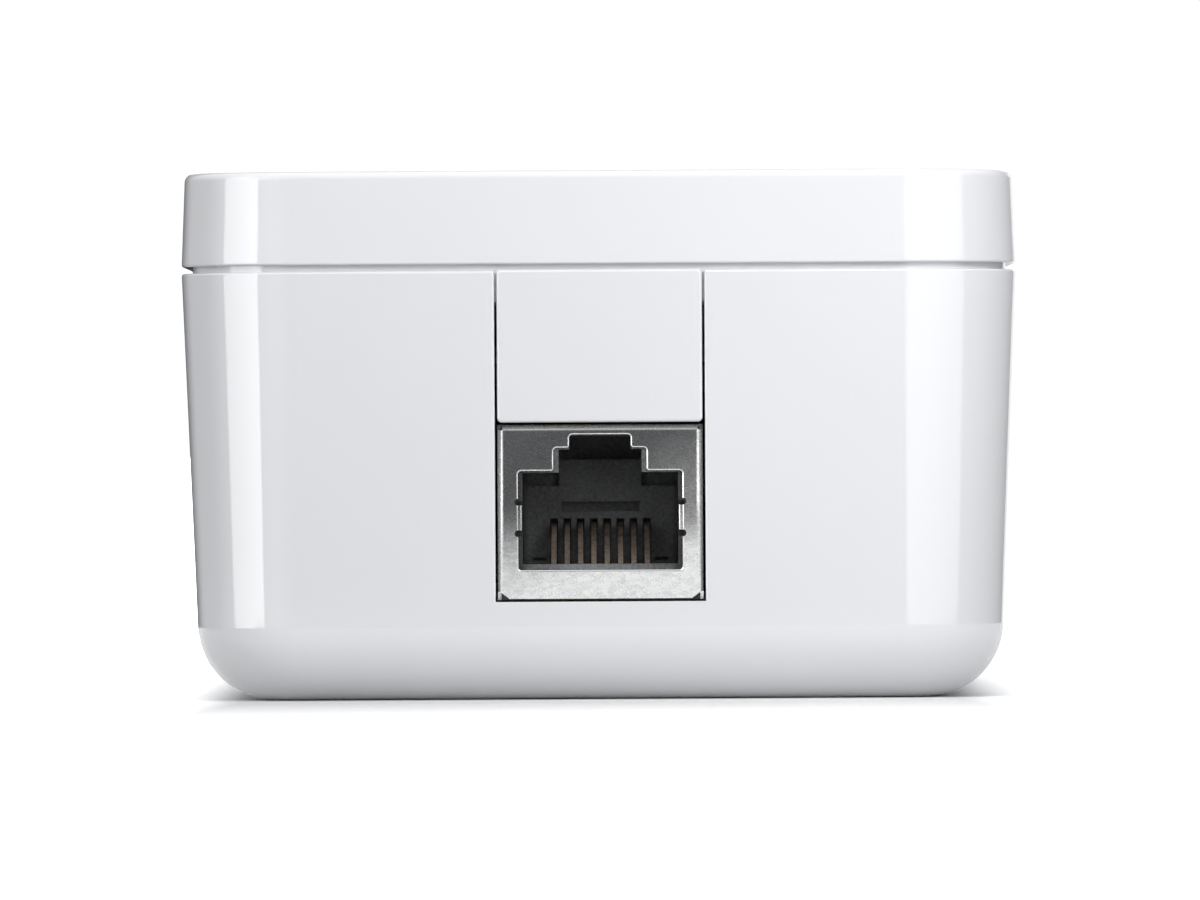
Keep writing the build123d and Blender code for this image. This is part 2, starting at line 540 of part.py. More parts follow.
add("crystals", crystal(-10.5, -8.0, 10.8, 4.6, 3.6), crystal(17.5, 22.0, 10.8, 4.6, 3.6))
ind = box(12.0, 18.0, -21.0, -15.0, LOGIC_Z1, LOGIC_Z1 + 3.0)
ind = fillet([e for e in ind.edges() if e.bounding_box().size.Z > 2], 1.2)
ind -= cyl(15, -18, LOGIC_Z1 + 2.6, LOGIC_Z1 + 4, 2.0)
add("buck_inductor", one(ind))
add("regulator_chips", chip(21.5, -20.0, 3.0, 3.0, 1.0, pins=3, side="x", dot=False), chip(-21.0, 22.0, 3.0, 3.0, 1.0, pins=3, side="x", dot=False))
caps_at = [(-4, 20), (-2, 20), (0, 20), (2, 20), (4, 20), (14.6, 2), (14.6, 4), (14.6, 6), (-7, -2), (-7, 0), (-7, 2),
           (-5, -15), (5, -15), (7, -13), (21, -3), (21, -1), (12, -12), (12, -9), (-14, 20), (-16, 20), (22, 10), (22, 12), (-24, 8), (-24, 10)]
add("ceramic_capacitors", *[box(x - 0.4, x + 0.4, y - 0.8, y + 0.8, LOGIC_Z1, LOGIC_Z1 + 0.8) for x, y in caps_at])
res_at = [(-10, 26), (-8.5, 26), (-7, 26), (-5.5, 26), (8, 24), (9.5, 24), (11, 24), (6, -5), (7.5, -5), (-6, -4), (-4.5, -4), (-12, -16),
          (-13.5, -16), (-15, -16), (12, -25), (13.5, -25), (-22, 15), (-22, 13), (10, -2), (11.5, -2)]
add("chip_resistors", *[box(x - 0.4, x + 0.4, y - 0.8, y + 0.8, LOGIC_Z1, LOGIC_Z1 + 0.45) for x, y in res_at])

# status lamps under the board, above the light guide
leds = []
for lx in LENS_X:
    b = box(lx - 1.0, lx + 1.0, LENS_Y - 0.65, LENS_Y + 0.65, LOGIC_Z0 - 0.45, LOGIC_Z0)
    b += box(lx - 0.6, lx + 0.6, LENS_Y - 0.6, LENS_Y + 0.6, LOGIC_Z0 - 0.8, LOGIC_Z0 - 0.4)
    leds.append(one(b))
add("status_leds", *leds)

lg = box(-11.0, 11.0, LENS_Y - 1.7, LENS_Y + 1.7, WALL + 0.05, WALL + 1.5)
lg = fillet([e for e in lg.edges() if e.bounding_box().size.Z > 1], 1.0)
for lx in LENS_X:
    lg += cyl(lx, LENS_Y, 0.06, WALL + 0.2, 1.38)
    lg += cyl(lx, LENS_Y, WALL + 1.4, 4.9, 1.2)
add("light_guide", one(lg))

# tact switch, its plunger and the pair button
SW_X0 = -26.0
sw = box(SW_X0, SW_X0 + 4.2, BTN_Y - 3.5, BTN_Y + 3.5, LOGIC_Z1, LOGIC_Z1 + 4.3)
sw = chamfer([e for e in sw.edges() if abs(e.center().Z - (LOGIC_Z1 + 4.3)) < 1e-3], 0.3)
sw -= cyl_x(SW_X0 - 1, SW_X0 + 1.6, BTN_Y, BTN_Z, 1.3)
add("tact_switch", one(sw))
pl = cyl_x(SW_X0 - 0.8, SW_X0 + 0.8, BTN_Y, BTN_Z, 1.2)
add("switch_plunger", one(fillet([e for e in pl.edges() if abs(e.center().X - (SW_X0 - 0.8)) < 1e-3], 0.25)))

bp = Plane(origin=(-31.55, BTN_Y, BTN_Z), x_dir=(0, 1, 0), z_dir=(1, 0, 0))
btn = extrude(bp * SlotOverall(9.0, 4.0), amount=2.75)
btn = fillet([e for e in btn.edges() if abs(e.center().X + 31.55) < 1e-2], 0.45)
fp = Plane(origin=(-28.85, BTN_Y, BTN_Z), x_dir=(0, 1, 0), z_dir=(1, 0, 0))
btn += extrude(fp * SlotOverall(11.4, 5.0), amount=0.9)
btn += box(-28.0, SW_X0 - 0.86, BTN_Y - 1.3, BTN_Y + 1.3, BTN_Z - 1.3, BTN_Z + 1.3)
add("pair_button", one(btn))

# board to board header
hb = box(HEAD_X - 3.1, HEAD_X + 3.1, HEAD_Y - 1.1, HEAD_Y + 3.1, LOGIC_Z1, LOGIC_Z1 + 2.5)
hb2 = box(HEAD_X - 3.1, HEAD_X + 3.1, HEAD_Y - 1.1, HEAD_Y + 3.1, POWER_Z0 - 8.5, POWER_Z0)
for px, py in PINS:
    hb -= box(px - 0.3, px + 0.3, py - 0.3, py + 0.3, 5, 12)
    hb2 -= box(px - 0.3, px + 0.3, py - 0.3, py + 0.3, 14, 26)
add("board_header", one(hb), one(hb2))
add("header_pins", *[box(px - 0.25, px + 0.25, py - 0.25, py + 0.25, 5.2, 26.4) for px, py in PINS])

# ---------------------------------------------------------------------------
# Power board, components hanging towards the logic board
# ---------------------------------------------------------------------------
pb = extrude(Pos(0, 0.5, POWER_Z0) * RectangleRounded(54.0, 86.0, 3.0), amount=POWER_Z1 - POWER_Z0)
for sx in (-1, 1):
    for sy in (-1, 1):
        pb -= cyl(sx * COL_X, sy * COL_Y, 23, 27, 2.7)
for px, py in PINS:
    pb -= cyl(px, py, 23, 27, 0.42)
add("power_board", one(pb))

sheet = extrude(Pos(0, 1.0, POWER_Z1) * RectangleRounded(50.0, 68.0, 2.0), amount=0.25)
for cx in (-BLADE_X, BLADE_X):
    sheet -= box(cx - 2.0, cx + 2.0, PLUG_Y - 12.2, PLUG_Y - 2.5, 25, 27)
sheet -= box(HEAD_X - 3.4, HEAD_X + 3.4, HEAD_Y - 2, HEAD_Y + 3.6, 25, 27)
add("insulation_sheet", one(sheet))

ZP = POWER_Z0


def legs(points, z0, r=0.3):
    return [cyl(x, y, z0, ZP, r) for x, y in points]


# fuse: glass-free ceramic tube with end caps
fz = ZP - 3.0
fuse = cyl_x(16.0, 24.0, 33.6, fz, 1.7) + cyl_x(14.6, 16.4, 33.6, fz, 1.95) + cyl_x(23.6, 25.4, 33.6, fz, 1.95)
for fx in (15.4, 24.6):
    fuse += cyl(fx, 33.6, fz, ZP, 0.3)
add("fuse", one(fuse))

var = cyl_y(11.0, 36.2, 39.8, ZP - 6.4, 5.0)
var = fillet([e for e in var.edges() if e.geom_type == GeomType.CIRCLE], 1.2)
for dx in (-2.5, 2.5):
    var += cyl(11.0 + dx, 38.0, ZP - 5.0, ZP, 0.35)
add("varistor", one(var))

x2 = box(-9.0, 4.0, 34.6, 40.6, ZP - 12.3, ZP - 0.3)
x2 = chamfer([e for e in x2.edges() if e.bounding_box().size.Z > 5], 0.4)
for dx in (-7.5, 2.5):
    x2 += cyl(dx, 37.6, ZP - 0.5, ZP, 0.35)
add("x2_capacitor", one(x2))

CH_X, CH_Y, CH_Z = -17.5, 33.0, ZP - 4.3
core = Pos(CH_X, CH_Y, CH_Z) * (Cylinder(4.6, 4.0) - Cylinder(2.7, 5.0))
add("line_choke_core", one(core))
# each turn is a rectangular loop of wire round the ring's section
wind = []
for k in range(14):
    deg = (20 + k * 23) if k < 7 else (200 + (k - 7) * 23)
    loop = box(-1.55, 1.55, -0.36, 0.36, -2.75, 2.75) - box(-1.03, 1.03, -1, 1, -2.08, 2.08)
    loop = fillet([e for e in loop.edges() if e.bounding_box().size.Y > 0.5 and abs(abs(e.center().Z) - 2.75) < 1e-3], 0.5)
    wind.append(Pos(CH_X, CH_Y, CH_Z) * Rot(0, 0, deg) * Pos(3.65, 0, 0) * loop)
add("line_choke_winding", *wind)

br = box(16.8, 25.2, 21.8, 28.2, ZP - 3.6, ZP - 0.4)
br = chamfer([e for e in br.edges() if abs(e.center().Z - (ZP - 3.6)) < 1e-3], 0.25)
for dx in (18.4, 23.6):
    for dy in (21.4, 28.6):
        br += box(dx - 0.45, dx + 0.45, dy - 0.5, dy + 0.5, ZP - 2.2, ZP - 1.9)
        br += box(dx - 0.3, dx + 0.3, dy - 0.15 + (0.35 if dy > 25 else -0.35), dy + 0.15 + (0.35 if dy > 25 else -0.35), ZP - 2.2, ZP)
add("bridge_rectifier", one(br))


def can_cap_lying(x, y0, y1, z, r):
    c = cyl_y(x, y0, y1, z, r)
    c = fillet([e for e in c.edges() if e.geom_type == GeomType.CIRCLE], 0.5)
    groove = cyl_y(x, y1 - 2.2, y1 - 1.6, z, r + 1) - cyl_y(x, y1 - 2.3, y1 - 1.5, z, r - 0.3)
    c -= groove
    for dx in (-1.25, 1.25):
        c += box(x + dx - 0.3, x + dx + 0.3, y1 - 0.2, y1 + 1.5, z - 0.3, z + 0.3)
        c += box(x + dx - 0.3, x + dx + 0.3, y1 + 0.9, y1 + 1.5, z - 0.3, ZP)
    return one(c)


add("bulk_capacitors", can_cap_lying(21.6, 2.6, 17.6, ZP - 5.2, 5.0))

TR_X, TR_Y = -14.5, 15.0
tc = box(TR_X - 8, TR_X + 8, TR_Y - 2.4, TR_Y + 2.4, ZP - 14.2, ZP - 1.2)
tc -= box(TR_X - 5.6, TR_X - 2.2, TR_Y - 4, TR_Y + 4, ZP - 11.8, ZP - 3.6)
tc -= box(TR_X + 2.2, TR_X + 5.6, TR_Y - 4, TR_Y + 4, ZP - 11.8, ZP - 3.6)
add("transformer_core", one(tc))
bob = box(TR_X - 5.55, TR_X + 5.55, TR_Y - 6.4, TR_Y + 6.4, ZP - 11.75, ZP - 10.9)
bob += box(TR_X - 5.55, TR_X + 5.55, TR_Y - 6.4, TR_Y + 6.4, ZP - 4.6, ZP - 3.65)
bob += box(TR_X - 3.0, TR_X + 3.0, TR_Y - 3.2, TR_Y + 3.2, ZP - 11.5, ZP - 3.9)
bob -= box(TR_X - 2.25, TR_X + 2.25, TR_Y - 2.45, TR_Y + 2.45, ZP - 13, ZP - 3)
for sy in (-1, 1):
    bob += box(TR_X - 5.55, TR_X + 5.55, *sorted((TR_Y + sy * 4.2, TR_Y + sy * 7.4)), ZP - 3.9, ZP - 0.6)
    for dx in (-4.2, -1.4, 1.4, 4.2):
        bob += cyl(TR_X + dx, TR_Y + sy * 6.2, ZP - 0.8, ZP, 0.3)
add("transformer_bobbin", one(bob))
wd = box(TR_X - 5.3, TR_X + 5.3, TR_Y - 6.0, TR_Y + 6.0, ZP - 10.85, ZP - 4.65)
wd = fillet([e for e in wd.edges() if e.bounding_box().size.Z > 5], 1.6)
wd -= box(TR_X - 3.05, TR_X + 3.05, TR_Y - 3.25, TR_Y + 3.25, ZP - 12, ZP - 4)
add("transformer_winding", one(wd))

ctl = box(1.4 - 2.2, 1.4 + 7.2, 11.9, 18.1, ZP - 4.0, ZP - 0.5)
ctl = chamfer([e for e in ctl.edges() if abs(e.center().Z - (ZP - 4.0)) < 1e-3], 0.25)
for i in range(4):
    for sy in (-1, 1):
        px = 0.1 + i * 2.54
        ctl += box(px - 0.6, px + 0.6, *sorted((15 + sy * 2.9, 15 + sy * 3.75)), ZP - 2.4, ZP - 2.1)
        ctl += box(px - 0.25, px + 0.25, *sorted((15 + sy * 3.5, 15 + sy * 3.75)), ZP - 2.4, ZP)
add("switching_controller", one(ctl))

yc = cyl_x(-7.6, -4.4, 0.0, ZP - 5.6, 4.2)
yc = fillet([e for e in yc.edges() if e.geom_type == GeomType.CIRCLE], 1.1)
for dy in (-2.5, 2.5):
    yc += cyl(-6.0, dy, ZP - 4.5, ZP, 0.3)
add("y_capacitor", one(yc))

oc = box(2.7, 7.3, -5.0, 1.4, ZP - 4.0, ZP - 0.5)
oc = chamfer([e for e in oc.edges() if abs(e.center().Z - (ZP - 4.0)) < 1e-3], 0.25)
for dx in (3.73, 6.27):
    for py, s in ((-5.0, -1), (1.4, 1)):
        oc += box(dx - 0.5, dx + 0.5, *sorted((py - s * 0.2, py + s * 0.6)), ZP - 2.4, ZP - 2.1)
        oc += box(dx - 0.25, dx + 0.25, *sorted((py + s * 0.35, py + s * 0.6)), ZP - 2.4, ZP)
add("optocoupler", one(oc))

od = cyl_x(-22.5, -13.5, -3.5, ZP - 3.2, 2.6)
od += cyl_x(-24.6, -11.4, -3.5, ZP - 3.2, 0.4)
for dx in (-24.4, -11.6):
    od += cyl(dx, -3.5, ZP - 3.4, ZP, 0.4)
add("output_diode", one(od))


def can_cap_standing(x, y, h, r):
    c = cyl(x, y, ZP - 0.3 - h, ZP - 0.3, r)
    c = fillet([e for e in c.edges() if e.geom_type == GeomType.CIRCLE], 0.5)
    c -= cyl(x, y, ZP - 2.6, ZP - 2.1, r + 1) - cyl(x, y, ZP - 2.7, ZP - 2.0, r - 0.3)
    # scored vent cross on the free end
    c -= box(x - r * 0.6, x + r * 0.6, y - 0.12, y + 0.12, ZP - 0.3 - h - 1, ZP - 0.3 - h + 0.12)
    c -= box(x - 0.12, x + 0.12, y - r * 0.6, y + r * 0.6, ZP - 0.3 - h - 1, ZP - 0.3 - h + 0.12)
    for dx in (-1.75, 1.75):
        c += cyl(x + dx, y, ZP - 0.5, ZP, 0.3)
    return one(c)


add("output_capacitors", can_cap_standing(-19.5, -12.5, 11.5, 4.0), can_cap_standing(-19.5, -21.8, 11.5, 4.0))

oi = cyl(-9.5, -14.0, ZP - 8.3, ZP - 0.3, 3.6) - (cyl(-9.5, -14.0, ZP - 7.0, ZP - 1.6, 4.5) - cyl(-9.5, -14.0, ZP - 7.1, ZP - 1.5, 3.0))
for dx in (-1.5, 1.5):
    oi += cyl(-9.5 + dx, -14.0, ZP - 0.5, ZP, 0.3)
add("output_inductor", one(oi))

ct = box(11.5, 21.5, -14.0, -5.0, ZP - 8.2, ZP - 0.5)
ct = chamfer([e for e in ct.edges() if abs(e.center().Z - (ZP - 8.2)) < 1e-3], 0.3)
for dx in (13.0, 16.5, 20.0):
    for sy in (-1, 1):
        ct += box(dx - 0.3, dx + 0.3, *sorted((-9.5 + sy * 4.3, -9.5 + sy * 5.1)), ZP - 0.8, ZP - 0.5)
        ct += box(dx - 0.3, dx + 0.3, *sorted((-9.5 + sy * 4.8, -9.5 + sy * 5.1)), ZP - 0.8, ZP)
add("coupling_transformer", one(ct))

cc = box(11.0, 23.5, -26.5, -21.5, ZP - 9.3, ZP - 0.3)
cc = chamfer([e for e in cc.edges() if e.bounding_box().size.Z > 5], 0.4)
for dx in (12.3, 22.2):
    cc += cyl(dx, -24.0, ZP - 0.5, ZP, 0.35)
add("coupling_capacitor", one(cc))

for name, shape in parts.items():
    export_step(shape, "parts/%s.step" % name)
print(len(parts), "nodes")
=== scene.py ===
import bpy, bmesh, math, json
from mathutils import Vector, Matrix

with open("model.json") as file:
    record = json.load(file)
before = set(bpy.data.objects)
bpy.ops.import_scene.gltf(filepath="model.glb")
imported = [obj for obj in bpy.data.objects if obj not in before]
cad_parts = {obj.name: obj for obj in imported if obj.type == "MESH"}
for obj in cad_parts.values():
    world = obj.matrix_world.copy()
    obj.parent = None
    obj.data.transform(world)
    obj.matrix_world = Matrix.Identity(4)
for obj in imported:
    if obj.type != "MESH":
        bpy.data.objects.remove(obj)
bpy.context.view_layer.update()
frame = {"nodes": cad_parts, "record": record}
nodes = frame["nodes"]
scene = bpy.context.scene

# ---------------------------------------------------------------------------
# node helpers
# ---------------------------------------------------------------------------


def srgb(r, g, b):
    def f(c):
        c /= 255.0
        return c / 12.92 if c <= 0.04045 else ((c + 0.055) / 1.055) ** 2.4
    return (f(r), f(g), f(b), 1.0)


class Mat:
    """A small builder for procedural materials."""

    def __init__(self, name):
        self.m = bpy.data.materials.new(name)
        self.m.use_nodes = True
        self.t = self.m.node_tree
        self.bsdf = self.t.nodes["Principled BSDF"]
        self.tc = self.t.nodes.new("ShaderNodeTexCoord")

    def set(self, **kw):
        for k, v in kw.items():
            self.bsdf.inputs[k.replace("_", " ")].default_value = v
        return self

    def node(self, kind, **kw):
        n = self.t.nodes.new(kind)
        for k, v in kw.items():
            if hasattr(n, k):
                setattr(n, k, v)
            else:
                n.inputs[k.replace("_", " ")].default_value = v
        return n

    def link(self, a, b):
        self.t.links.new(a, b)

    def coords(self, scale=(1, 1, 1), rot=(0, 0, 0)):
        mp = self.node("ShaderNodeMapping")
        mp.inputs["Scale"].default_value = scale
        mp.inputs["Rotation"].default_value = rot
        self.link(self.tc.outputs["Object"], mp.inputs["Vector"])
        return mp.outputs["Vector"]

    def noise(self, scale, detail=4.0, rough=0.55, vec=None, stretch=(1, 1, 1)):
        n = self.node("ShaderNodeTexNoise")
        n.inputs["Scale"].default_value = scale
        n.inputs["Detail"].default_value = detail
        n.inputs["Roughness"].default_value = rough
        self.link(vec if vec is not None else self.coords(stretch), n.inputs["Vector"])
        return n.outputs["Fac"]

    def voronoi(self, scale, feature="F1", stretch=(1, 1, 1)):
        n = self.node("ShaderNodeTexVoronoi")
        n.feature = feature
        n.inputs["Scale"].default_value = scale
        self.link(self.coords(stretch), n.inputs["Vector"])
        return n.outputs["Distance"]

    def ramp(self, fac, stops):
        r = self.node("ShaderNodeValToRGB")
        el = r.color_ramp.elements
        while len(el) < len(stops):
            el.new(0.5)
        for e, (p, c) in zip(el, stops):
            e.position = p
            e.color = c if len(c) == 4 else (*c, 1)
        self.link(fac, r.inputs["Fac"])
        return r.outputs["Color"]

    def range(self, fac, lo, hi, a=0.3, b=0.7):
        r = self.node("ShaderNodeMapRange")
        r.inputs["From Min"].default_value = a
        r.inputs["From Max"].default_value = b
        r.inputs["To Min"].default_value = lo
        r.inputs["To Max"].default_value = hi
        self.link(fac, r.inputs["Value"])
        return r.outputs["Result"]

    def mix(self, fac, c1, c2, blend="MIX"):
        m = self.node("ShaderNodeMix")
        m.data_type = "RGBA"
        m.blend_type = blend
        if hasattr(fac, "is_output"):
            self.link(fac, m.inputs["Factor"])
        else:
            m.inputs["Factor"].default_value = fac
        for sock, c in (("A", c1), ("B", c2)):
            s = [i for i in m.inputs if i.name == sock and i.type == "RGBA"][0]
            if hasattr(c, "is_output"):
                self.link(c, s)
            else:
                s.default_value = c
        return [o for o in m.outputs if o.type == "RGBA"][0]

    def math(self, op, a, b=None):
        m = self.node("ShaderNodeMath")
        m.operation = op
        for i, v in enumerate((a, b)):
            if v is None:
                continue
            if hasattr(v, "is_output"):
                self.link(v, m.inputs[i])
            else:
                m.inputs[i].default_value = v
        return m.outputs[0]

    def color(self, c):
        self.link(c, self.bsdf.inputs["Base Color"])
        return self

    def rough(self, f):
        self.link(f, self.bsdf.inputs["Roughness"])
        return self

    def bump(self, height, strength=0.2, dist=0.0001, prev=None):
        b = self.node("ShaderNodeBump")
        b.inputs["Strength"].default_value = strength
        b.inputs["Distance"].default_value = dist
        self.link(height, b.inputs["Height"])
        if prev is not None:
            self.link(prev, b.inputs["Normal"])
        self.link(b.outputs["Normal"], self.bsdf.inputs["Normal"])
        return b.outputs["Normal"]


def axes(m):
    s = m.node("ShaderNodeSeparateXYZ")
    m.link(m.tc.outputs["Object"], s.inputs[0])
    return s.outputs


# ---------------------------------------------------------------------------
# materials
# ---------------------------------------------------------------------------
M = {}


def white_gloss(name, tint=(0.84, 0.845, 0.865), rough=0.07, seed=0.0):
    m = Mat(name)
    cloud = m.noise(28 + seed, 3.0)
    fine = m.noise(900 + seed * 7, 2.0)
    c = tuple(tint)
    lo = (c[0] * 0.985, c[1] * 0.985, c[2] * 0.982, 1)
    hi = (min(c[0] * 1.01, 1), min(c[1] * 1.01, 1), min(c[2] * 1.012, 1), 1)
    m.color(m.ramp(cloud, [(0.3, lo), (0.7, hi)]))
    r = m.range(m.math("ADD", m.math("MULTIPLY", cloud, 0.6), m.math("MULTIPLY", fine, 0.4)), rough * 0.8, rough * 1.25)
    m.rough(r)
    peel = m.noise(420 + seed, 2.0)
    m.bump(peel, 0.035, 0.00003)
    m.set(IOR=1.5)
    m.bsdf.inputs["Subsurface Weight"].default_value = 0.0
    M[name] = m.m
    return m.m


def metal(name, c_lo, c_hi, rough=(0.25, 0.4), grain=1500, stretch=(1, 1, 1), bump=0.1, metallic=1.0):
    m = Mat(name)
    n = m.noise(grain, 4.0, 0.7, stretch=stretch)
    big = m.noise(grain * 0.06, 3.0, 0.6)
    mixf = m.math("ADD", m.math("MULTIPLY", n, 0.6), m.math("MULTIPLY", big, 0.4))
    m.color(m.ramp(mixf, [(0.3, c_lo), (0.7, c_hi)]))
    m.rough(m.range(mixf, rough[1], rough[0]))
    m.bump(n, bump, 0.00003)
    m.set(Metallic=metallic)
    M[name] = m.m
    return m.m


def plastic(name, c_lo, c_hi, rough=(0.35, 0.55), grain=1800, bump=0.15, spec_ior=1.48):
    m = Mat(name)
    n = m.noise(grain, 3.0, 0.6)
    big = m.noise(grain * 0.04, 3.0, 0.5)
    mixf = m.math("ADD", m.math("MULTIPLY", n, 0.5), m.math("MULTIPLY", big, 0.5))
    m.color(m.ramp(mixf, [(0.32, c_lo), (0.68, c_hi)]))
    m.rough(m.range(mixf, rough[0], rough[1]))
    m.bump(n, bump, 0.00004)
    m.set(IOR=spec_ior)
    M[name] = m.m
    return m.m


white_gloss("case_white")
white_gloss("cover_white", seed=3.1)
white_gloss("button_white", tint=(0.80, 0.805, 0.82), rough=0.22, seed=5.2)
white_gloss("plug_plastic", tint=(0.78, 0.785, 0.80), rough=0.25, seed=7.7)
plastic("inner_plastic", (0.56, 0.55, 0.50), (0.66, 0.65, 0.61), (0.5, 0.65))
metal("nickel_blade", (0.62, 0.60, 0.55), (0.78, 0.76, 0.72), (0.18, 0.34), 900, (1, 0.08, 1), 0.12)
metal("spring_brass", (0.60, 0.44, 0.20), (0.80, 0.63, 0.34), (0.25, 0.42), 1200)
metal("spring_steel", (0.42, 0.42, 0.43), (0.58, 0.58, 0.59), (0.25, 0.4), 1200)
metal("screw_steel", (0.40, 0.40, 0.42), (0.60, 0.60, 0.62), (0.28, 0.45), 1500)
metal("crystal_can", (0.62, 0.62, 0.64), (0.76, 0.76, 0.77), (0.2, 0.35), 700, (0.1, 1, 1))
plastic("jack_black", (0.014, 0.015, 0.016), (0.150, 0.156, 0.158), (0.38, 0.6), 3600, 0.45)


def jack_sides():
    """The moulding is in shade outside the plug channel: darker and duller past 5.7 mm from the middle."""
    m = M["jack_black"]
    t = m.node_tree
    bsdf = [n for n in t.nodes if n.type == "BSDF_PRINCIPLED"][0]
    tc = t.nodes.new("ShaderNodeTexCoord")
    sp = t.nodes.new("ShaderNodeSeparateXYZ")
    t.links.new(tc.outputs["Object"], sp.inputs[0])
    ab = t.nodes.new("ShaderNodeMath")
    ab.operation = "ABSOLUTE"
    t.links.new(sp.outputs[0], ab.inputs[0])
    mr = t.nodes.new("ShaderNodeMapRange")
    t.links.new(ab.outputs[0], mr.inputs["Value"])
    for k, v in zip(("From Min", "From Max", "To Min", "To Max"), (0.00545, 0.0059, 1.0, 0.12)):
        mr.inputs[k].default_value = v
    mul = t.nodes.new("ShaderNodeMix")
    mul.data_type = "RGBA"
    mul.blend_type = "MULTIPLY"
    mul.inputs[0].default_value = 1.0
    src = bsdf.inputs["Base Color"].links[0].from_socket
    t.links.new(src, mul.inputs[6])
    t.links.new(mr.outputs["Result"], mul.inputs[7])
    t.links.new(mul.outputs[2], bsdf.inputs["Base Color"])


jack_sides()
metal("contact_gold", (0.16, 0.12, 0.09), (0.74, 0.60, 0.49), (0.25, 0.5), 3000, (1, 0.6, 1), 0.6, metallic=0.6)
plastic("foam_black", (0.012, 0.012, 0.013), (0.035, 0.035, 0.037), (0.8, 0.95), 3500, 0.5)
plastic("chip_black", (0.018, 0.018, 0.020), (0.045, 0.045, 0.048), (0.45, 0.65), 3000, 0.25)
plastic("ferrite_grey", (0.05, 0.05, 0.055), (0.12, 0.12, 0.125), (0.55, 0.75), 2500, 0.3)
metal("winding_copper", (0.45, 0.16, 0.06), (0.72, 0.34, 0.16), (0.2, 0.35), 900)
plastic("tape_yellow", (0.66, 0.46, 0.05), (0.82, 0.62, 0.12), (0.3, 0.45), 600, 0.1)
plastic("capacitor_sleeve", (0.02, 0.03, 0.07), (0.04, 0.06, 0.12), (0.18, 0.3), 500, 0.08)
plastic("film_yellow", (0.70, 0.50, 0.06), (0.84, 0.64, 0.12), (0.3, 0.45), 900, 0.1)
plastic("disc_blue", (0.03, 0.07, 0.16), (0.05, 0.11, 0.24), (0.3, 0.45), 900, 0.12)
plastic("ceramic_tan", (0.45, 0.33, 0.22), (0.62, 0.49, 0.36), (0.35, 0.5), 4000, 0.1)
plastic("fuse_body", (0.66, 0.63, 0.54), (0.80, 0.78, 0.70), (0.25, 0.4), 900, 0.05)
plastic("sheet_clear", (0.62, 0.61, 0.52), (0.72, 0.71, 0.63), (0.3, 0.4), 500, 0.04)
plastic("led_body", (0.80, 0.76, 0.45), (0.90, 0.88, 0.62), (0.2, 0.3), 900, 0.04)
plastic("thermal_grey", (0.30, 0.33, 0.40), (0.38, 0.41, 0.48), (0.7, 0.85), 900, 0.2)
metal("heat_sink_alu", (0.03, 0.03, 0.033), (0.07, 0.07, 0.075), (0.45, 0.6), 1600, (1, 0.06, 1), 0.15, 0.6)


def pcb():
    m = Mat("pcb_green")
    n = m.noise(700, 3.0)
    tracks = m.node("ShaderNodeTexBrick")
    tracks.inputs["Scale"].default_value = 260.0
    tracks.inputs["Mortar Size"].default_value = 0.03
    m.link(m.coords(), tracks.inputs["Vector"])
    base = m.ramp(n, [(0.3, (0.010, 0.075, 0.030, 1)), (0.7, (0.020, 0.115, 0.048, 1))])
    c = m.mix(tracks.outputs["Fac"], base, (0.030, 0.16, 0.07, 1))
    m.color(c)
    m.rough(m.range(n, 0.22, 0.38))
    m.bump(tracks.outputs["Fac"], 0.15, 0.00004)
    M["pcb_green"] = m.m


pcb()


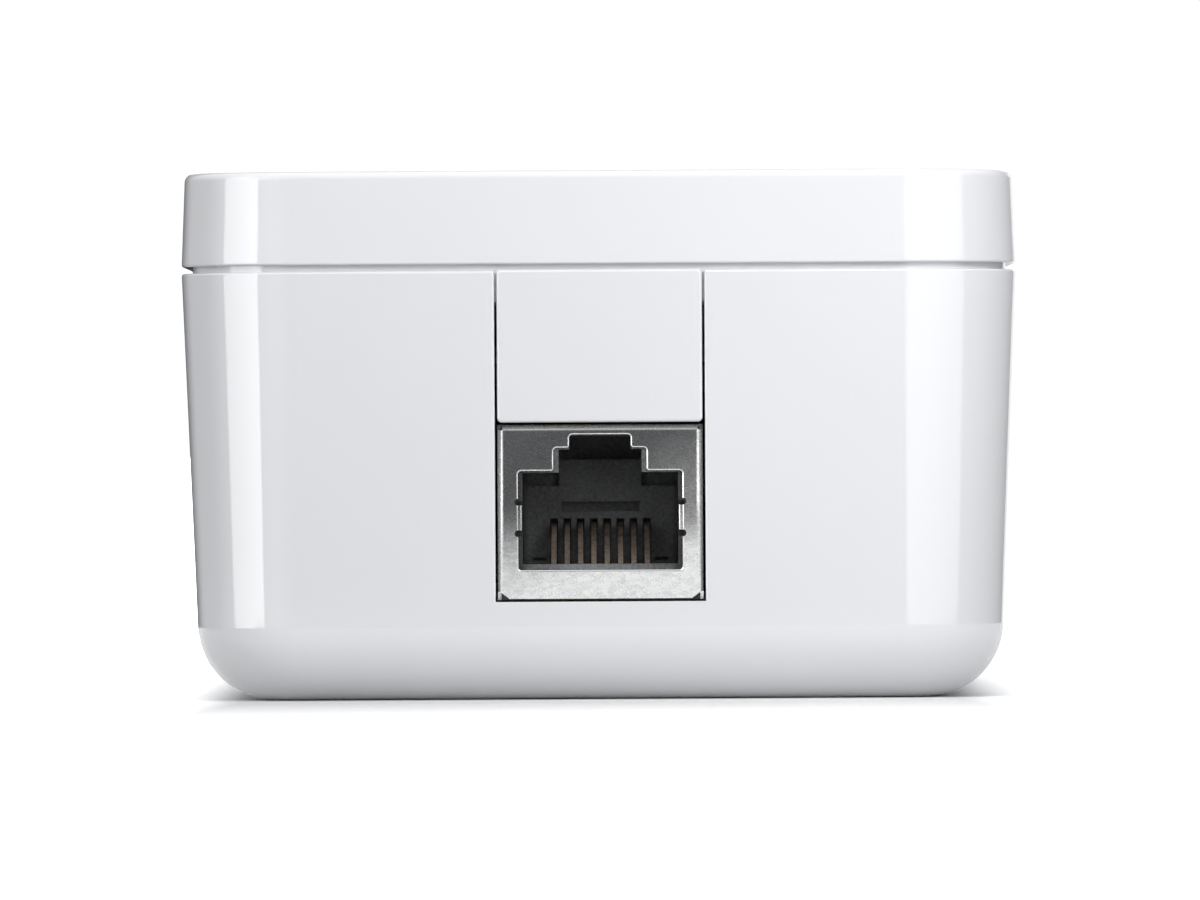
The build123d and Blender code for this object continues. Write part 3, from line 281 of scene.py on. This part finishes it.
def shield():
    """Tin-plated sheet: fine rolled grain, bright specks, painted shade that darkens the upper front face, and a face
    that is bowed towards its lower edge.
    """
    m = Mat("shield_tin")
    speck = m.noise(6500, 2.0, 0.8)
    grain = m.noise(2600, 3.0, 0.75, stretch=(0.55, 1, 1))
    cloud = m.noise(420, 3.0, 0.6)
    f = m.math("ADD", m.math("MULTIPLY", grain, 0.8), m.math("MULTIPLY", cloud, 0.2))
    base = m.ramp(f, [(0.28, (0.46, 0.46, 0.46, 1)), (0.5, (0.57, 0.57, 0.565, 1)), (0.72, (0.68, 0.68, 0.67, 1))])
    ax = axes(m)
    # painted shade: front-facing surfaces are painted darker towards the top and the left, standing in for the dark
    # surroundings the upper face reflects
    painted_shade_ramp = m.node("ShaderNodeMapRange")
    for k, v in zip(("From Min", "From Max", "To Min", "To Max"), SHIELD_PAINTED_SHADE):
        painted_shade_ramp.inputs[k].default_value = v
    m.link(m.math("ADD", ax[2], m.math("MULTIPLY", ax[0], -0.45)), painted_shade_ramp.inputs["Value"])
    facing = m.node("ShaderNodeNewGeometry")
    fsep = m.node("ShaderNodeSeparateXYZ")
    m.link(facing.outputs["Normal"], fsep.inputs[0])
    flat = m.math("MULTIPLY", painted_shade_ramp.outputs["Result"], m.range(m.math("MULTIPLY", fsep.outputs[1], -1.0), 0, 1, 0.93, 0.995))
    worn = m.mix(m.math("MULTIPLY", m.range(speck, 0, 1, 0.60, 0.70), 0.35), base, (0.80, 0.80, 0.79, 1))
    # the dark grain ramp is the painted shade colour, blended over the speckled tin on the upper front face
    m.color(m.mix(flat, worn, m.ramp(grain, [(0.3, (0.10, 0.104, 0.106, 1)), (0.7, (0.24, 0.246, 0.25, 1))])))
    m.rough(m.range(f, SHIELD_ROUGH[0], SHIELD_ROUGH[1]))
    # bow: the normal leans down more and more towards the lower edge
    lean = m.node("ShaderNodeMapRange")
    lean.interpolation_type = "SMOOTHSTEP"
    for k, v in zip(("From Min", "From Max", "To Min", "To Max"), SHIELD_BOW):
        lean.inputs[k].default_value = v
    m.link(ax[2], lean.inputs["Value"])
    comb = m.node("ShaderNodeCombineXYZ")
    m.link(lean.outputs["Result"], comb.inputs[2])
    geo = m.node("ShaderNodeNewGeometry")
    add = m.node("ShaderNodeVectorMath", operation="ADD")
    m.link(geo.outputs["Normal"], add.inputs[0])
    m.link(comb.outputs[0], add.inputs[1])
    norm = m.node("ShaderNodeVectorMath", operation="NORMALIZE")
    m.link(add.outputs[0], norm.inputs[0])
    b1 = m.bump(grain, 0.15, 0.00003, prev=norm.outputs[0])
    m.bump(speck, 0.05, 0.00002, prev=b1)
    m.set(Metallic=1.0)
    M["shield_tin"] = m.m


SHIELD_ROUGH = (0.34, 0.20)
SHIELD_BOW = (0.0075, 0.0175, -0.27, 0.0)
# height range and strength of the painted shade on the shield's upper front face
SHIELD_PAINTED_SHADE = (0.0100, 0.0180, 0.0, 0.97)
shield()


def label():
    m = Mat("label_foil")
    n = m.noise(500, 3.0)
    fine = m.noise(4000, 2.0)
    m.color(m.ramp(n, [(0.3, (0.56, 0.57, 0.58, 1)), (0.7, (0.63, 0.64, 0.65, 1))]))
    m.rough(m.range(fine, 0.35, 0.5))
    m.bump(fine, 0.12, 0.00003)
    M["label_foil"] = m.m


label()


def clear():
    m = Mat("clear_plastic")
    n = m.noise(900, 3.0)
    m.color(m.ramp(n, [(0.3, (0.80, 0.84, 0.86, 1)), (0.7, (0.88, 0.91, 0.92, 1))]))
    m.rough(m.range(n, 0.18, 0.3))
    m.bump(n, 0.06, 0.00003)
    m.set(IOR=1.5)
    m.bsdf.inputs["Transmission Weight"].default_value = 0.75
    M["clear_plastic"] = m.m


clear()

slot_of = {s["node"]: s["material_slot"] for s in frame["record"]["subparts"]}
for name, o in nodes.items():
    mat = M[slot_of[name]]
    if not o.data.materials:
        o.data.materials.append(mat)
    for i in range(len(o.data.materials)):
        o.data.materials[i] = mat
    for s in o.material_slots:
        s.material = mat

# ---------------------------------------------------------------------------
# stage: floor, soft strips, world
# ---------------------------------------------------------------------------
FLOOR_BOUNCE, FLOOR_SEEN, FLOOR_GLOSS = (0.46, 0.75), (0.86, 1.03, 3.6), 1.75
GLOW_LR = (0.10, 0.41)
LAMP_AT = ((0.068, -0.155, 0.088),)
LAMP_L = (19.36,)
TABLE_GLOW = 1.0
SKY = {"front": 1.401, "left": 0.852, "right": 0.0, "back": 0.7, "top": 0.9, "base": 0.0}
GLOSS = {"front": 0.201, "left": 1.535, "back_left": 0.611, "top": 1.8, "panel": 1.3, "right": 0.0, "back_right": 0.0}
STRIP_L, STRIP_R = (7.53, 5.69), (3.02, 2.40)


def emitter(name, pts, strength, color=(1, 1, 1), grad=None):
    """A flat light panel from corner points."""
    me = bpy.data.meshes.new(name)
    me.from_pydata(pts, [], [list(range(len(pts)))])
    o = bpy.data.objects.new(name, me)
    scene.collection.objects.link(o)
    mt = bpy.data.materials.new(name)
    mt.use_nodes = True
    t = mt.node_tree
    t.nodes.clear()
    out = t.nodes.new("ShaderNodeOutputMaterial")
    em = t.nodes.new("ShaderNodeEmission")
    em.inputs["Color"].default_value = (*color, 1)
    em.inputs["Strength"].default_value = strength
    t.links.new(em.outputs[0], out.inputs[0])
    if grad:
        g = t.nodes.new("ShaderNodeTexCoord")
        s = t.nodes.new("ShaderNodeSeparateXYZ")
        mr = t.nodes.new("ShaderNodeMapRange")
        t.links.new(g.outputs["Object"], s.inputs[0])
        t.links.new(s.outputs["XYZ".index(grad[0])], mr.inputs["Value"])
        for k, v in zip(("From Min", "From Max", "To Min", "To Max"), grad[1:]):
            mr.inputs[k].default_value = v
        t.links.new(mr.outputs[0], em.inputs["Strength"])
    me.materials.append(mt)
    o.visible_camera = False
    return o


def direction(az, el, r):
    """A point at azimuth az to the right of the camera side, elevation el, seen from the jack end."""
    a, e = math.radians(az), math.radians(el)
    return (r * math.sin(a) * math.cos(e), -0.0475 - r * math.cos(a) * math.cos(e), 0.019 + r * math.sin(e))


def strip(name, az0, az1, el0, el1, r, s0, s1, drop=0.0):
    """A curved vertical light strip between two azimuths; brightness runs from s0 at az0 to s1 at az1."""
    n = 24
    verts, faces, cols = [], [], []
    for i in range(n + 1):
        t = i / n
        az = az0 + (az1 - az0) * t
        low = el0 + drop * t ** 4
        verts.append(direction(az, low, r))
        verts.append(direction(az, el1, r))
    for i in range(n):
        faces.append((2 * i, 2 * i + 1, 2 * i + 3, 2 * i + 2))
    me = bpy.data.meshes.new(name)
    me.from_pydata(verts, [], faces)
    at = me.attributes.new("glow", "FLOAT", "POINT")
    for i in range(n + 1):
        v = s0 + (s1 - s0) * i / n
        at.data[2 * i].value = v
        at.data[2 * i + 1].value = v
    o = bpy.data.objects.new(name, me)
    scene.collection.objects.link(o)
    mt = bpy.data.materials.new(name)
    mt.use_nodes = True
    t = mt.node_tree
    t.nodes.clear()
    out = t.nodes.new("ShaderNodeOutputMaterial")
    em = t.nodes.new("ShaderNodeEmission")
    a = t.nodes.new("ShaderNodeAttribute")
    a.attribute_name = "glow"
    t.links.new(a.outputs["Fac"], em.inputs["Strength"])
    em.inputs["Color"].default_value = (1, 1, 1, 1)
    t.links.new(em.outputs[0], out.inputs[0])
    me.materials.append(mt)
    o.visible_camera = False
    o.visible_shadow = False
    o.visible_diffuse = False
    return o


R_STRIP = 2.6
strip("strip_left", -41.0, -78.8, -6.4, 40, R_STRIP, *STRIP_L, drop=1.6)
strip("strip_right", 11.0, 66.3, -6.4, 40, R_STRIP, *STRIP_R, drop=1.6)

# small lamps close in front: they fall off across the end wall
lamps = []
for i, (spot, level) in enumerate(zip(LAMP_AT, LAMP_L)):
    spot = Vector(spot)
    aim = (Vector((0.0, -0.0475, 0.02)) - spot).normalized()
    u = aim.cross(Vector((0, 0, 1))).normalized()
    v = u.cross(aim)
    ring = [tuple(spot + (u * math.cos(a) + v * math.sin(a)) * 0.02) for a in [k * math.tau / 20 for k in range(20)]]
    lamp = emitter("front_lamp_%d" % i, ring, level)
    lamp.visible_glossy = False
    lamp.visible_shadow = False
    lamps.append(lamp)

# the over-lit table top in front, for bounce light only
glow = emitter("table_glow", [(-0.11, -0.17, 0.0001), (0.13, -0.17, 0.0001), (0.13, -0.046, 0.0001), (0.03, -0.0475, 0.0001), (-0.03, -0.0535, 0.0001), (-0.11, -0.0535, 0.0001)],
               TABLE_GLOW, grad=("X", -0.05, 0.05, TABLE_GLOW * GLOW_LR[0], TABLE_GLOW * GLOW_LR[1]))
glow.visible_glossy = False
glow.visible_shadow = False
gt = glow.data.materials[0].node_tree
g_out = [n for n in gt.nodes if n.type == "OUTPUT_MATERIAL"][0]
g_em = [n for n in gt.nodes if n.type == "EMISSION"][0]
g_lp = gt.nodes.new("ShaderNodeLightPath")
g_gt = gt.nodes.new("ShaderNodeMath")
g_gt.operation = "GREATER_THAN"
g_gt.inputs[1].default_value = 0.0015
g_tr = gt.nodes.new("ShaderNodeBsdfTransparent")
g_mx = gt.nodes.new("ShaderNodeMixShader")
gt.links.new(g_lp.outputs["Ray Length"], g_gt.inputs[0])
gt.links.new(g_gt.outputs[0], g_mx.inputs[0])
gt.links.new(g_tr.outputs[0], g_mx.inputs[1])
gt.links.new(g_em.outputs[0], g_mx.inputs[2])
gt.links.new(g_mx.outputs[0], g_out.inputs[0])

# floor: brighter to the camera than to the light that bounces off it
me = bpy.data.meshes.new("floor")
S = 60.0
me.from_pydata([(-S, -S, -0.00003), (S, -S, -0.00003), (S, S, -0.00003), (-S, S, -0.00003)], [], [(0, 1, 2, 3)])
floor = bpy.data.objects.new("floor", me)
scene.collection.objects.link(floor)
fm = Mat("floor_white")
fn = fm.noise(4, 3.0)
seen = fm.ramp(fn, [(0.3, (1.0, 1.0, 1.0, 1)), (0.7, (1.02, 1.02, 1.02, 1))])
flp = fm.node("ShaderNodeLightPath")
fd = fm.node("ShaderNodeBsdfDiffuse")
bounce = fm.ramp(fm.range(axes(fm)[0], 0.0, 1.0, -0.040, 0.015), [(0.0, (FLOOR_BOUNCE[0],) * 3 + (1,)), (1.0, (FLOOR_BOUNCE[1],) * 3 + (1,))])
gain = fm.mix(flp.outputs["Is Glossy Ray"], bounce, (FLOOR_GLOSS,) * 3 + (1,))
fax = axes(fm)
# painted shade: next to the object the camera sees the floor at low gain, lower on the left than on the right, which
# deepens the rendered contact shadow; away from the object the gain rises so the floor clips to white
front_gain = fm.range(fax[0], FLOOR_SEEN[0], FLOOR_SEEN[1], -0.025, 0.022)
away_y = fm.range(fm.math("MULTIPLY", fax[1], -1.0), 0.0, 1.0, 0.055, 0.125)
away_x = fm.range(fm.math("ABSOLUTE", fax[0]), 0.0, 1.0, 0.0275, 0.040)
away = fm.math("MAXIMUM", fm.math("MULTIPLY", away_y, 0.35), away_x)
seen_gain = fm.math("ADD", fm.math("MULTIPLY", front_gain, fm.math("SUBTRACT", 1.0, away)), fm.math("MULTIPLY", away, FLOOR_SEEN[2]))
comb = fm.node("ShaderNodeCombineXYZ")
for i in range(3):
    fm.link(seen_gain, comb.inputs[i])
gain = fm.mix(flp.outputs["Is Camera Ray"], gain, comb.outputs[0])
fm.link(fm.mix(1.0, seen, gain, "MULTIPLY"), fd.inputs["Color"])
fm.link(fd.outputs[0], [n for n in fm.t.nodes if n.type == "OUTPUT_MATERIAL"][0].inputs["Surface"])
me.materials.append(fm.m)
floor.visible_glossy = False
not_floor = bpy.data.collections.new("not_floor")
not_floor.objects.link(floor)
for lamp in lamps:
    lamp.light_linking.receiver_collection = not_floor

# the patch of floor that the glossy body reflects
me = bpy.data.meshes.new("floor_near")
PX, PY = 0.075, 0.092
me.from_pydata([(-PX, -PY, -0.00002), (PX, -PY, -0.00002), (PX, PY, -0.00002), (-PX, PY, -0.00002)], [], [(0, 1, 2, 3)])
near = bpy.data.objects.new("floor_near", me)
scene.collection.objects.link(near)
me.materials.append(fm.m)
near.visible_camera = False
near.visible_diffuse = False
near.visible_shadow = False
not_floor.objects.link(near)
for c in not_floor.collection_objects:
    c.light_linking.link_state = "EXCLUDE"

# world: plain for the camera, one shaped light for diffuse and one for reflections
w = bpy.data.worlds.new("studio")
scene.world = w
w.use_nodes = True
t = w.node_tree
t.nodes.clear()
out = t.nodes.new("ShaderNodeOutputWorld")
lp = t.nodes.new("ShaderNodeLightPath")
tc = t.nodes.new("ShaderNodeTexCoord")
sp = t.nodes.new("ShaderNodeSeparateXYZ")
t.links.new(tc.outputs["Generated"], sp.inputs[0])
x, y, z = sp.outputs


def wmath(op, a, b=None, c=None):
    n = t.nodes.new("ShaderNodeMath")
    n.operation = op
    for i, v in enumerate((a, b, c)):
        if v is None:
            continue
        if hasattr(v, "is_output"):
            t.links.new(v, n.inputs[i])
        else:
            n.inputs[i].default_value = v
    return n.outputs[0]


def wsum(table, shapes):
    acc = None
    for k, v in table.items():
        acc = wmath("MULTIPLY", shapes[k], v) if acc is None else wmath("MULTIPLY_ADD", shapes[k], v, acc)
    return acc


def step(v, lo, hi):
    n = t.nodes.new("ShaderNodeMapRange")
    n.interpolation_type = "SMOOTHSTEP"
    n.inputs["From Min"].default_value = lo
    n.inputs["From Max"].default_value = hi
    t.links.new(v, n.inputs["Value"])
    return n.outputs["Result"]


def positive(v, sign=1.0):
    return wmath("MAXIMUM", wmath("MULTIPLY", v, sign), 0.0)


one = wmath("ADD", 1.0, 0.0)
diffuse = wsum(SKY, {
    "base": one, "front": positive(y, -1.0),
    "left": wmath("POWER", positive(wmath("ADD", wmath("MULTIPLY", x, -0.82), wmath("MULTIPLY", y, -0.57))), 4.0), "right": wmath("POWER", positive(x), 4.0),
    "back": positive(y), "top": wmath("POWER", positive(z), 6.0),
})
# reflections: one value per quarter, an overhead glow and a bright panel behind on the right
right_side, behind = step(x, -0.25, 0.25), step(y, -0.25, 0.25)
left_side, before = wmath("SUBTRACT", 1.0, right_side), wmath("SUBTRACT", 1.0, behind)
mid = wmath("SUBTRACT", 1.0, step(wmath("ABSOLUTE", x), 0.10, 0.45))
offmid = wmath("SUBTRACT", 1.0, mid)
gloss = wsum(GLOSS, {
    "front": wmath("MULTIPLY", before, mid),
    "left": wmath("MULTIPLY", wmath("MULTIPLY", before, offmid), left_side),
    "right": wmath("MULTIPLY", wmath("MULTIPLY", before, offmid), right_side),
    "back_left": wmath("MULTIPLY", wmath("MULTIPLY", behind, left_side), wmath("SUBTRACT", 1.0, step(y, 0.70, 0.90))), "back_right": wmath("MULTIPLY", behind, right_side),
    "top": wmath("POWER", positive(z), 2.0),
    "panel": wmath("MULTIPLY", step(x, 0.0, 0.06), step(y, 0.86, 0.92)),
})


def background(strength, color=(1, 1, 1)):
    n = t.nodes.new("ShaderNodeBackground")
    n.inputs["Color"].default_value = (*color, 1)
    if hasattr(strength, "is_output"):
        t.links.new(strength, n.inputs["Strength"])
    else:
        n.inputs["Strength"].default_value = strength
    return n.outputs[0]


def choose(fac, a, b):
    n = t.nodes.new("ShaderNodeMixShader")
    t.links.new(fac, n.inputs[0])
    t.links.new(a, n.inputs[1])
    t.links.new(b, n.inputs[2])
    return n.outputs[0]


soft = background(diffuse, (0.985, 0.992, 1.0))
refl = background(gloss, (0.985, 0.992, 1.0))
t.links.new(choose(lp.outputs["Is Camera Ray"], choose(lp.outputs["Is Glossy Ray"], soft, refl), background(1.05)), out.inputs[0])

# ---------------------------------------------------------------------------
# camera: straight on to the jack end, level with the lower half
# ---------------------------------------------------------------------------
PX_PER_MM = 13.2
DIST = 1.0
cam = bpy.data.cameras.new("camera")
cam.sensor_width = 36.0
cam.lens = PX_PER_MM * (DIST * 1000) / 1200 * 36.0
cam_o = bpy.data.objects.new("camera", cam)
scene.collection.objects.link(cam_o)
cam_o.location = (0.0, -0.0475 - DIST, 0.01894)
roll = math.radians(0.33)
cam_o.rotation_euler = (math.radians(90), 0, 0)
cam_o.rotation_euler = (Matrix.Rotation(roll, 3, "Y") @ Matrix.Rotation(math.radians(90), 3, "X")).to_euler()
cam.clip_start, cam.clip_end = 0.05, 50
scene.camera = cam_o

scene.view_settings.view_transform = "Standard"
scene.view_settings.look = "None"
scene.view_settings.exposure = 0.0
scene.view_settings.gamma = 1.0
